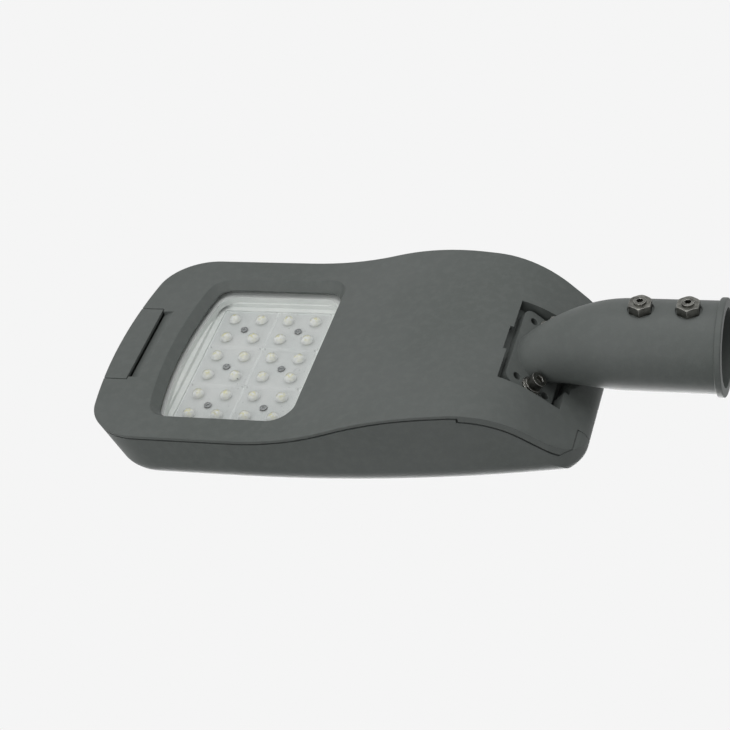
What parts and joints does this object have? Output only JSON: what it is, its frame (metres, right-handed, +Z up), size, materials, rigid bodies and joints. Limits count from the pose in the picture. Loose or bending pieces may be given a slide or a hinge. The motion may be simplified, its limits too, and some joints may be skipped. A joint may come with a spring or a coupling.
{
  "type": "street light head",
  "caption": "Cobra head LED street light: grey cast frame with glazed lens array, hinged upper lid with tip latch, and a bolted spigot elbow for a pole arm.",
  "frame": {"origin": "centre of the spigot socket's mouth", "axes": "+X out of the socket, towards the pole; +Z up, with the light facing down; +Y across the head"},
  "size_m": [0.5207, 0.234, 0.1175],
  "materials": {
    "grey_paint": "fine textured powder coat, dark grey",
    "seal_rubber": "matt black",
    "steel": "bright stainless",
    "dark_steel": "blackened",
    "zinc_sheet": "zinc plated sheet",
    "window_glass": "clear toughened",
    "lens_plastic": "clear moulded lens",
    "white_plastic": "satin white",
    "white_board": "white solder mask",
    "phosphor": "yellow phosphor",
    "bare_aluminium": "as extruded",
    "driver_case": "anodised case",
    "black_plastic": "moulded black",
    "grey_plastic": "moulded grey"
  },
  "bodies": {
    "housing": {"cable_gland": "seal_rubber", "clip_screws": "steel", "flange_bolts": "steel", "flange_washers": "steel", "gear_tray": "zinc_sheet", "glass_clips": "steel", "heatsink_screws": "steel", "hinge_pins": "steel", "latch_pin": "steel", "led_board": "white_board", "led_chips": "phosphor", "led_driver": "driver_case", "led_heatsink": "bare_aluminium", "lens_module_1": "lens_plastic", "lens_module_2": "lens_plastic", "lens_module_3": "lens_plastic", "lens_module_4": "lens_plastic", "lens_module_5": "lens_plastic", "lens_module_6": "lens_plastic", "lens_screws": "dark_steel", "lid_seal": "seal_rubber", "lock_nuts": "steel", "lower_frame": "grey_paint", "reflector_frame": "white_plastic", "set_screws": "steel", "spigot_elbow": "grey_paint", "surge_protector": "black_plastic", "terminal_block": "grey_plastic", "tray_screws": "steel", "window_gasket": "seal_rubber", "window_glass": "window_glass"},
    "lid": {"upper_lid": "grey_paint"},
    "latch": {"latch_clip": "grey_paint"}
  },
  "joints": [
    {"name": "lid_hinge", "type": "hinge", "parent": "housing", "child": "lid", "pos_m": [-0.1163, 0, 0.054], "axis": [0, 1, 0], "range_deg": [0, 80]},
    {"name": "latch_turn", "type": "hinge", "parent": "housing", "child": "latch", "pos_m": [-0.5065, 0, 0.0245], "axis": [0, 1, 0], "range_deg": [0, 35]}
  ]
}
